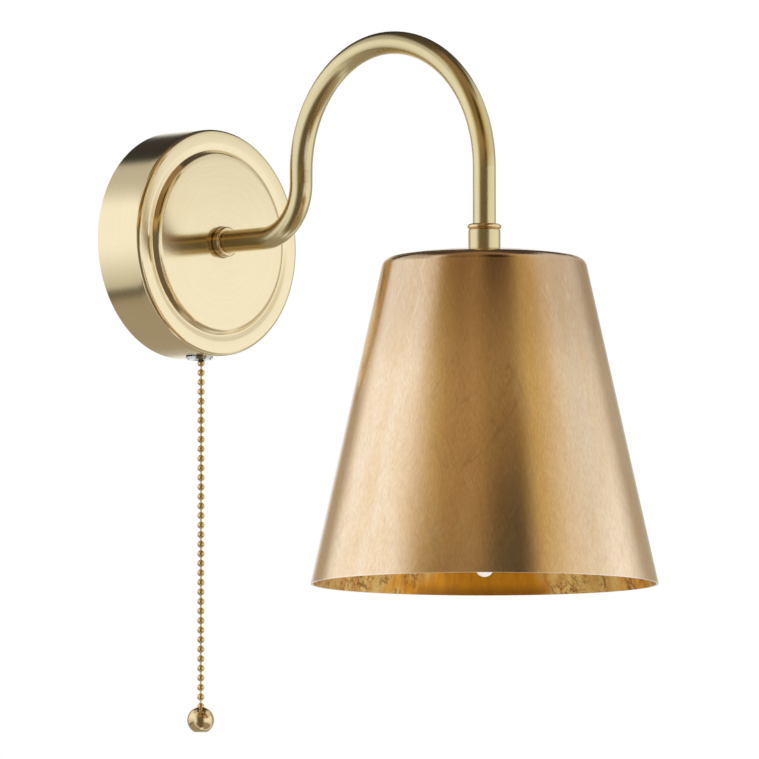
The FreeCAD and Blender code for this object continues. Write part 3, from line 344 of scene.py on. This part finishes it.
def drum_outline():
    """The drum's outer line, from the wall to the arm's hole, as radius and height in mm."""
    points = [(DRUM_RADIUS, height) for height in SIDE_HEIGHTS]
    centre = (DRUM_RADIUS - DRUM_ROUND, DRUM_DEPTH - DRUM_ROUND)
    for step in range(ROUND_STEPS + 1):
        angle = math.radians(90.0 * step / ROUND_STEPS)
        points.append((centre[0] + DRUM_ROUND * math.cos(angle),
                       centre[1] + DRUM_ROUND * math.sin(angle)))
    points.append((DISH_OUT + DISH_MARGIN, DRUM_DEPTH))
    for step in range(DISH_STEPS + 1):
        share = step / DISH_STEPS
        fall = share * share * (3.0 - 2.0 * share)
        points.append((DISH_OUT + (BANK_FOOT - DISH_OUT) * share, DRUM_DEPTH - DISH_DEPTH * fall))
    # the bank is steep at its foot and turns over softly into the disc
    bank, rise = [], 0.0
    for (start, first), (end, last) in zip(BANK_SLOPES, BANK_SLOPES[1:]):
        for step in range(BANK_STEPS):
            slope = math.radians(first + (last - first) * (step + 0.5) / BANK_STEPS)
            rise += math.tan(slope) * (start - end) / BANK_STEPS
            bank.append((start + (end - start) * (step + 1) / BANK_STEPS, rise))
    foot = DRUM_DEPTH - DISH_DEPTH
    points.extend((radius, foot + (DISC_EDGE - foot) * height / rise) for radius, height in bank)
    for step in range(1, DOME_STEPS + 1):
        radius = BANK_TOP + (ARM_HOLE - BANK_TOP) * step / DOME_STEPS
        points.append((radius, DISC_FACE - (DISC_FACE - DISC_EDGE) * (radius / BANK_TOP) ** 2))
    return points


def drum_inline(outer):
    """The drum's inner line, one wall inside its outer line."""
    inner = []
    for radius, height in outer:
        if height < DRUM_DEPTH - DRUM_ROUND:
            inner.append((radius - DRUM_WALL, height))
        elif radius <= DRUM_RADIUS - DRUM_ROUND:
            inner.append((radius, height - DRUM_WALL))
    return inner


def turned(name, ring):
    """A mesh turned about the wall axis from a closed line of radius and height in mm."""
    points, faces, count = [], [], len(ring)
    for turn in range(TURN_STEPS):
        angle = math.tau * turn / TURN_STEPS
        for radius, height in ring:
            points.append((radius * math.cos(angle) / MM_PER_METRE, -height / MM_PER_METRE,
                           radius * math.sin(angle) / MM_PER_METRE))
        here, there = turn * count, (turn + 1) % TURN_STEPS * count
        for index in range(count):
            after = (index + 1) % count
            faces.append((here + index, here + after, there + after, there + index))
    mesh = bpy.data.meshes.new(name)
    mesh.from_pydata(points, [], faces)
    return mesh


def drill(name, radius, along, place):
    """A short drill along X or Z, centred on a place in mm, to cut a hole."""
    points, faces = [], []
    for end in (-DRILL_HALF, DRILL_HALF):
        for turn in range(DRILL_SIDES):
            angle = math.tau * turn / DRILL_SIDES
            a, b = radius * math.cos(angle), radius * math.sin(angle)
            offset = (end, a, b) if along == "X" else (a, b, end)
            points.append(tuple((c + d) / MM_PER_METRE for c, d in zip(place, offset)))
    for turn in range(DRILL_SIDES):
        after = (turn + 1) % DRILL_SIDES
        faces.append((turn, after, DRILL_SIDES + after, DRILL_SIDES + turn))
    faces.append(tuple(range(DRILL_SIDES))[::-1])
    faces.append(tuple(range(DRILL_SIDES, 2 * DRILL_SIDES)))
    mesh = bpy.data.meshes.new(name)
    mesh.from_pydata(points, [], faces)
    bit = bpy.data.objects.new(name, mesh)
    add_to_scene(bit)
    return bit


def make_drum(material):
    """The drum cover with its soft bank, bored for the arm, the switch and the side screw."""
    outer = drum_outline()
    ring = outer + drum_inline(outer)[::-1]
    drum = bpy.data.objects.new("drum_cover", turned("drum_cover", ring))
    add_to_scene(drum)
    bits = [
        drill("neck_drill", NECK_HOLE, "Z", (0.0, -NECK_OUT, -DRUM_RADIUS)),
        drill("screw_drill", SCREW_HOLE, "X", (DRUM_RADIUS, -SCREW_OUT, 0.0)),
    ]
    for bit in bits:
        cut = drum.modifiers.new(bit.name, "BOOLEAN")
        cut.operation = "DIFFERENCE"
        cut.solver = "EXACT"
        cut.object = bit
    bpy.context.view_layer.update()
    whole = drum.evaluated_get(bpy.context.evaluated_depsgraph_get())
    bored = bpy.data.meshes.new_from_object(whole)
    drum.modifiers.clear()
    drum.data = bored
    for bit in bits:
        bpy.data.objects.remove(bit)
    bored.name = "drum_cover"
    bored.shade_smooth()
    bored.set_sharp_from_angle(angle=math.radians(SHARP_DEGREES))
    bored.materials.clear()
    bored.materials.append(material)
    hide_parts("backplate_cover")
    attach(drum, "fixture")


# ----------------------------------------------------------------- finishes


def satin_metal(name, colour, roughness, grain, mottle):
    """Plated metal under lacquer, with a faint grain and slow changes of shine."""
    material, tree, shader, place = new_finish(name)
    cloud = noise(tree, place, scale=35.0, detail=4.0)
    fine = noise(tree, place, scale=1800.0, detail=2.0)
    shader.inputs["Metallic"].default_value = 1.0
    mottled = mixed_colour(tree, ramp(tree, cloud, low=0.3, high=0.7),
                           dimmed(colour, share=1.0 - mottle), colour)
    put(tree, mottled, shader.inputs["Base Color"])
    worn = times_plus(tree, cloud, SATIN_WANDER, roughness - SATIN_WANDER / 2 - grain / 2)
    put(tree, times_plus(tree, fine, grain, worn), shader.inputs["Roughness"])
    bumped(tree, shader, fine, SATIN_RELIEF)
    return material


def spun_metal(name, colour, roughness):
    """Plated metal with fine lines round the wall axis, as on a pressed and brushed drum."""
    material, tree, shader, place = new_finish(name)
    x, y, z = parts_of(tree, place)
    radius = maths(tree, "SQRT", times_plus(tree, x, x, times(tree, z, z)))
    angle = maths(tree, "ARCTAN2", z, x)
    lines = noise(tree, joined(tree, times(tree, angle, LINE_STRETCH), y, radius),
                  scale=900.0, detail=4.0, roughness=0.65)
    # painted shade: the disc darkens to brown just round the arm's collar
    crevice_shade = ramp(tree, radius, COLLAR_RADIUS, COLLAR_RADIUS + CREVICE_SHADE_WIDTH, start=0.8, end=0.0)
    cloud = noise(tree, place, scale=35.0, detail=4.0)
    shader.inputs["Metallic"].default_value = 1.0
    brushed = mixed_colour(tree, ramp(tree, lines, low=0.35, high=0.65),
                           dimmed(colour, share=0.97), colour)
    put(tree, mixed_colour(tree, crevice_shade, brushed, CREVICE_PAINTED_SHADE), shader.inputs["Base Color"])
    worn = times_plus(tree, cloud, SPUN_WANDER, roughness - SPUN_WANDER)
    put(tree, times_plus(tree, lines, SPUN_WANDER, worn), shader.inputs["Roughness"])
    shader.inputs["Anisotropic"].default_value = 0.9
    shader.inputs["Anisotropic Rotation"].default_value = 0.25
    tangent = tree.nodes.new("ShaderNodeTangent")
    tangent.direction_type = "RADIAL"
    tangent.axis = "Y"
    tree.links.new(tangent.outputs[0], shader.inputs["Tangent"])
    bumped(tree, shader, lines, SPUN_RELIEF)
    return material


def shade_outside(tree, place, around, z):
    """Upright bands of patina, a fine slanting grain, and long hairlines that slant both ways.

    Returns the colour, the roughness and the relief.
    """
    bands = noise(tree, joined(tree, around, times(tree, z, BAND_SQUEEZE), 0.0),
                  scale=85.0, detail=3.0, distortion=0.3)
    clouds = noise(tree, place, scale=55.0, detail=4.0, roughness=0.55)
    patina = times_plus(tree, bands, 0.85, times(tree, clouds, 0.15))
    scratches, weave = [], []
    for slant, fineness in HAIRLINES:
        along = times_plus(tree, around, slant, z)
        across = times_plus(tree, z, -slant, around)
        thread = stretched(tree, across, along, stretch=4.0, seed=slant)
        weave.append(noise(tree, thread, scale=330.0 + fineness, detail=3.0, roughness=0.6))
        line = noise(tree, stretched(tree, across, along, stretch=17.0, seed=slant),
                     scale=fineness, detail=0.0)
        off_line = maths(tree, "ABSOLUTE", maths(tree, "SUBTRACT", line, 0.5))
        ridge = ramp(tree, off_line, low=0.0, high=0.03, start=1.0, end=0.0)
        patch = noise(tree, joined(tree, around, z, slant), scale=70.0 + fineness, detail=2.0)
        scratches.append(times(tree, ridge, ramp(tree, patch, low=0.42, high=0.58)))
    # pale hairlines: scratches showing paler metal, with a painted glint as well
    pale_hair = maths(tree, "MAXIMUM", scratches[0], scratches[3])
    dark_hair = maths(tree, "MAXIMUM", scratches[1], scratches[2])
    woven = times(tree, maths(tree, "ADD", weave[0], weave[1]), 0.5)
    upright = noise(tree, stretched(tree, around, z, stretch=9.0, seed=0.0),
                    scale=160.0, detail=3.0, roughness=0.6)
    grain = times_plus(tree, woven, 0.7, times(tree, upright, 0.3))
    height = ramp(tree, z, SHADE_LOW.z, SHADE_HIGH.z)
    # painted shade: the shade's outside darkens towards its top
    top_shade = ramp(tree, height, low=0.60, high=1.0, start=0.0, end=0.52)
    # the rim is worn bare and paler, and also carries a painted highlight along its edge
    rim_wear_and_highlight = ramp(tree, z, SHADE_LOW.z + RIM_WEAR_AND_HIGHLIGHT, SHADE_LOW.z + RIM_WEAR_AND_HIGHLIGHT / 2)

    colour = mixed_colour(tree, ramp(tree, patina, low=0.36, high=0.64), PATINA_DEEP, PATINA_PALE)
    for share, tint in (
        (top_shade, TOP_PAINTED_SHADE),
        (ramp(tree, grain, low=0.38, high=0.62, start=0.22, end=0.0), GRAIN_BROWN),
        (times(tree, dark_hair, 0.06), HAIR_BROWN),
        (times(tree, pale_hair, 0.25), HAIR_PALE_AND_GLINT),
        (rim_wear_and_highlight, BARE_RIM_AND_HIGHLIGHT),
    ):
        colour = mixed_colour(tree, share, colour, tint)
    rough = times_plus(tree, patina, -0.05, times_plus(tree, dark_hair, 0.06, SHADE_ROUGHNESS))
    relief = times_plus(tree, maths(tree, "SUBTRACT", pale_hair, dark_hair), 0.5, woven)
    return colour, rough, relief


def shade_inside(tree, place, angle, around, z):
    """Amber-lacquered gold leaf, crackled and stained, but whole under a painted glow on one side.

    Returns the colour, the roughness and the relief.
    """
    warp = noise(tree, place, scale=220.0, detail=5.0, roughness=0.75)
    shifted = tree.nodes.new("ShaderNodeVectorMath")
    shifted.operation = "MULTIPLY_ADD"
    put(tree, joined(tree, warp, warp, 0.0), shifted.inputs[0])
    shifted.inputs[1].default_value = (CRACKLE_WARP, CRACKLE_WARP, 0.0)
    put(tree, joined(tree, times(tree, angle, LEAF_GIRTH), z, 0.0), shifted.inputs[2])
    crackle = tree.nodes.new("ShaderNodeTexVoronoi")
    crackle.feature = "DISTANCE_TO_EDGE"
    crackle.inputs["Scale"].default_value = CRACKLES
    put(tree, shifted.outputs[0], crackle.inputs["Vector"])
    cracks = ramp(tree, crackle.outputs["Distance"], low=0.0, high=0.08, start=0.85, end=0.0)
    torn = noise(tree, place, scale=55.0, detail=5.0, roughness=0.7)
    stain = noise(tree, stretched(tree, around, z, stretch=3.0, seed=0.5),
                  scale=60.0, detail=5.0, roughness=0.7)
    leafing = noise(tree, joined(tree, around, z, 3.0), scale=42.0, detail=4.0, roughness=0.6)
    # painted amber glow round the side facing away from the camera, where the leaf is also whole
    # and less cracked
    turn = maths(tree, "ADD", angle, times_plus(tree, leafing, 0.5, -0.25 - GLOW_AND_WHOLE_LEAF_ANGLE))
    whole = ramp(tree, maths(tree, "ABSOLUTE", turn), low=0.26, high=0.42, start=1.0, end=0.0)
    gap = maths(tree, "MAXIMUM", times(tree, cracks, ramp(tree, torn, low=0.44, high=0.53)),
                ramp(tree, stain, low=0.56, high=0.64, start=0.0, end=0.75))
    gap = times(tree, gap, times_plus(tree, whole, -0.85, 1.0))
    faded = times(tree, ramp(tree, leafing, low=0.34, high=0.54),
                  maths(tree, "SUBTRACT", 1.0, whole))
    streak = noise(tree, stretched(tree, around, z, stretch=7.0, seed=1.5),
                   scale=45.0, detail=4.0, roughness=0.6)
    foot = ramp(tree, z, SHADE_LOW.z + FOOT_SHADOW[0], SHADE_LOW.z + FOOT_SHADOW[1],
                start=0.75, end=0.0)

    colour = mixed_colour(tree, faded, LEAF_AMBER, LEAF_PALE)
    for share, tint in (
        (ramp(tree, streak, low=0.42, high=0.62, start=0.0, end=0.55), LEAF_STREAK),
        (times(tree, foot, whole), LEAF_SHADOW),
        (gap, LEAF_GAP),
    ):
        colour = mixed_colour(tree, share, colour, tint)
    rough = times_plus(tree, gap, 0.35, LEAF_ROUGHNESS)
    relief = times_plus(tree, gap, -8.0, times(tree, warp, 8.0))
    return colour, rough, relief


def antique_shade():
    """Antique brass outside, gold leaf inside, told apart by which way the surface faces."""
    material, tree, shader, place = new_finish("antique_shade")
    x, y, z = parts_of(tree, place)
    outward = maths(tree, "SUBTRACT", y, SHADE_AXIS.y)
    normal = tree.nodes.new("ShaderNodeNewGeometry").outputs["Normal"]
    normal_x, normal_y, _ = parts_of(tree, normal)
    facing = times_plus(tree, x, normal_x, times(tree, outward, normal_y))
    inside = maths(tree, "LESS_THAN", facing, INWARD)
    angle = maths(tree, "ARCTAN2", outward, x)
    around = times(tree, angle, SHADE_GIRTH)
    outer = shade_outside(tree, place, around, z)
    inner = shade_inside(tree, place, angle, around, z)

    put(tree, times_plus(tree, inside, LEAF_METAL - 1.0, 1.0), shader.inputs["Metallic"])
    shader.inputs["Specular IOR Level"].default_value = SHADE_SPECULAR
    put(tree, mixed_colour(tree, inside, outer[0], inner[0]), shader.inputs["Base Color"])
    put(tree, mixed(tree, inside, outer[1], inner[1]), shader.inputs["Roughness"])
    bumped(tree, shader, mixed(tree, inside, outer[2], inner[2]), SHADE_RELIEF)
    return material


def moulded_plastic(name, colour, roughness):
    """A moulded plastic with a fine spark-eroded texture."""
    material, tree, shader, place = new_finish(name)
    grain = noise(tree, place, scale=2500.0, detail=2.0)
    cloud = noise(tree, place, scale=60.0, detail=3.0)
    put(tree, mixed_colour(tree, cloud, dimmed(colour, share=0.86), colour),
        shader.inputs["Base Color"])
    put(tree, times_plus(tree, grain, PLASTIC_WANDER, roughness), shader.inputs["Roughness"])
    bumped(tree, shader, grain, PLASTIC_RELIEF)
    return material


def frosted_glass():
    """The candle lamp's white frosted glass."""
    material, tree, shader, place = new_finish("frosted_glass")
    cloud = noise(tree, place, scale=90.0, detail=3.0)
    put(tree, mixed_colour(tree, cloud, GLASS_DULL, GLASS_CLEAR), shader.inputs["Base Color"])
    put(tree, times_plus(tree, cloud, GLASS_WANDER, GLASS_ROUGHNESS), shader.inputs["Roughness"])
    # painted light: the unlit glass glows faintly white
    for socket, value in (
        ("Coat Weight", 0.6),
        ("Coat Roughness", 0.05),
        ("Emission Color", rgba(PAINTED_GLASS_GLOW)),
        ("Emission Strength", 0.3),
        ("Subsurface Weight", 0.4),
        ("Subsurface Radius", (0.01, 0.009, 0.008)),
        ("Subsurface Scale", 1.0),
    ):
        shader.inputs[socket].default_value = value
    return material


def dress_nodes():
    """Gives every CAD node its finish."""
    drum_brass = spun_metal("champagne_drum", DRUM_BRASS, DRUM_ROUGHNESS)
    dress(drum_brass, "backplate_cover")
    make_drum(drum_brass)
    dress(antique_shade(), "shade")
    dress(frosted_glass(), "lamp_glass")
    for name, (*facts, nodes) in METALS.items():
        dress(satin_metal(name, *facts), *nodes)
    for name, (*facts, nodes) in MOULDINGS.items():
        dress(moulded_plastic(name, *facts), *nodes)


# ------------------------------------------------------------------- studio


def studio_direction(azimuth, elevation):
    """A direction from the light: azimuth is to the right of the camera, as the camera sees it."""
    level = Vector((CAMERA_AIM.x, CAMERA_AIM.y, 0.0)).normalized()
    to_camera = -level
    right = Vector((level.y, -level.x, 0.0))
    flat = to_camera * math.cos(azimuth) + right * math.sin(azimuth)
    return flat * math.cos(elevation) + Vector((0.0, 0.0, math.sin(elevation)))


def soft_edge(tree, value, soft):
    """1 in the middle of 0..1, falling to 0 over a share at each end."""
    rising = ramp(tree, value, 0.0, soft[0])
    return times(tree, rising, ramp(tree, value, 1.0 - soft[1], 1.0, start=1.0, end=0.0))


def flag_material(name, colour, strength, soft_across, soft_up):
    """A dark flag for reflections that fades to nothing at its edges."""
    material, tree, output = new_material(name)
    across, up, _ = parts_of(tree, tree.nodes.new("ShaderNodeTexCoord").outputs["UV"])
    solid = times(tree, soft_edge(tree, across, soft_across), soft_edge(tree, up, soft_up))
    glow = tree.nodes.new("ShaderNodeEmission")
    glow.inputs["Color"].default_value = rgba(colour)
    clear = tree.nodes.new("ShaderNodeBsdfTransparent")
    mix = tree.nodes.new("ShaderNodeMixShader")
    put(tree, times(tree, solid, strength), mix.inputs["Fac"])
    tree.links.new(clear.outputs[0], mix.inputs[1])
    tree.links.new(glow.outputs[0], mix.inputs[2])
    tree.links.new(mix.outputs[0], output.inputs["Surface"])
    return material


def make_flag(name, azimuths, elevations, colour, strength, soft_across, soft_up, radius):
    """A curved flag that only reflections see, over a span of azimuth and elevation in degrees.

    Its two edges across and its two edges up fade over shares of its span.
    """
    points, places, faces = [], [], []
    for row in range(FLAG_STEPS + 1):
        for column in range(FLAG_STEPS + 1):
            share = (column / FLAG_STEPS, row / FLAG_STEPS)
            azimuth = math.radians(azimuths[0] + (azimuths[1] - azimuths[0]) * share[0])
            elevation = math.radians(elevations[0] + (elevations[1] - elevations[0]) * share[1])
            points.append(STUDIO_CENTRE + studio_direction(azimuth, elevation) * radius)
            places.append(share)
    width = FLAG_STEPS + 1
    for row in range(FLAG_STEPS):
        for column in range(FLAG_STEPS):
            corner = row * width + column
            faces.append((corner, corner + 1, corner + width + 1, corner + width))
    mesh = bpy.data.meshes.new(name)
    mesh.from_pydata(points, [], faces)
    layer = mesh.uv_layers.new(name="flag")
    for loop in mesh.loops:
        layer.data[loop.index].uv = places[loop.vertex_index]
    mesh.materials.append(flag_material(name, colour, strength, soft_across, soft_up))
    flag = bpy.data.objects.new(name, mesh)
    add_to_scene(flag)
    for ray in FLAG_BLIND_RAYS:
        setattr(flag, f"visible_{ray}", False)


def make_soft_box(name, azimuth, elevation, radiance):
    """A soft box at a direction from the light, as bright as a surface of that radiance."""
    data = bpy.data.lights.new(name, "AREA")
    data.shape = "RECTANGLE"
    data.size, data.size_y = BOX_SIZE
    data.energy = radiance * math.pi * BOX_SIZE[0] * BOX_SIZE[1]
    lamp = bpy.data.objects.new(name, data)
    direction = studio_direction(math.radians(azimuth), math.radians(elevation))
    lamp.location = STUDIO_CENTRE + direction * BOX_DISTANCE
    lamp.rotation_mode = "QUATERNION"
    lamp.rotation_quaternion = (-direction).to_track_quat("-Z", "Y")
    lamp.visible_glossy = False
    add_to_scene(lamp)


def make_world():
    """White all round for the camera, reflections and glass, and a plain grey fill for the rest."""
    world = bpy.data.worlds.new("studio")
    bpy.context.scene.world = world
    world.use_nodes = True
    tree = world.node_tree
    tree.nodes.clear()
    rays = tree.nodes.new("ShaderNodeLightPath").outputs
    seen = maths(tree, "MAXIMUM", rays["Is Camera Ray"], rays["Is Glossy Ray"])
    seen = maths(tree, "MAXIMUM", seen, rays["Is Transmission Ray"])
    background = tree.nodes.new("ShaderNodeBackground")
    output = tree.nodes.new("ShaderNodeOutputWorld")
    put(tree, mixed_colour(tree, seen, FILL_GREY, WHITE), background.inputs["Color"])
    tree.links.new(background.outputs[0], output.inputs["Surface"])


def floor_material():
    """Pale grey from above, white in reflections and glass, and clear from underneath."""
    material, tree, output = new_material("floor")
    shader = tree.nodes.new("ShaderNodeBsdfPrincipled")
    shader.inputs["Base Color"].default_value = rgba(FLOOR_GREY)
    shader.inputs["Roughness"].default_value = FLOOR_ROUGHNESS
    rays = tree.nodes.new("ShaderNodeLightPath").outputs
    mirrored = maths(tree, "MAXIMUM", rays["Is Glossy Ray"], rays["Is Transmission Ray"])
    white = tree.nodes.new("ShaderNodeEmission")
    lit = tree.nodes.new("ShaderNodeMixShader")
    put(tree, mirrored, lit.inputs["Fac"])
    tree.links.new(shader.outputs[0], lit.inputs[1])
    tree.links.new(white.outputs[0], lit.inputs[2])
    under = tree.nodes.new("ShaderNodeNewGeometry").outputs["Backfacing"]
    clear = tree.nodes.new("ShaderNodeBsdfTransparent")
    mix = tree.nodes.new("ShaderNodeMixShader")
    put(tree, under, mix.inputs["Fac"])
    tree.links.new(lit.outputs[0], mix.inputs[1])
    tree.links.new(clear.outputs[0], mix.inputs[2])
    tree.links.new(mix.outputs[0], output.inputs["Surface"])
    return material


def make_floor():
    """A plain pale floor well below the light."""
    mesh = bpy.data.meshes.new("floor")
    corners = ((-FLOOR_HALF, -FLOOR_HALF), (FLOOR_HALF, -FLOOR_HALF),
               (FLOOR_HALF, FLOOR_HALF), (-FLOOR_HALF, FLOOR_HALF))
    mesh.from_pydata([(x, y, FLOOR_HEIGHT) for x, y in corners], [], [(0, 1, 2, 3)])
    mesh.materials.append(floor_material())
    floor = bpy.data.objects.new("floor", mesh)
    add_to_scene(floor)


def make_studio():
    """The floor, the white surroundings, two soft boxes and the flags for the reflections."""
    make_world()
    make_floor()
    for name, facts in SOFT_BOXES.items():
        make_soft_box(name, *facts)
    for name, facts in FLAGS.items():
        make_flag(name, *facts)


bpy.context.scene.view_settings.view_transform = "Standard"
make_camera()
dress_nodes()
make_studio()
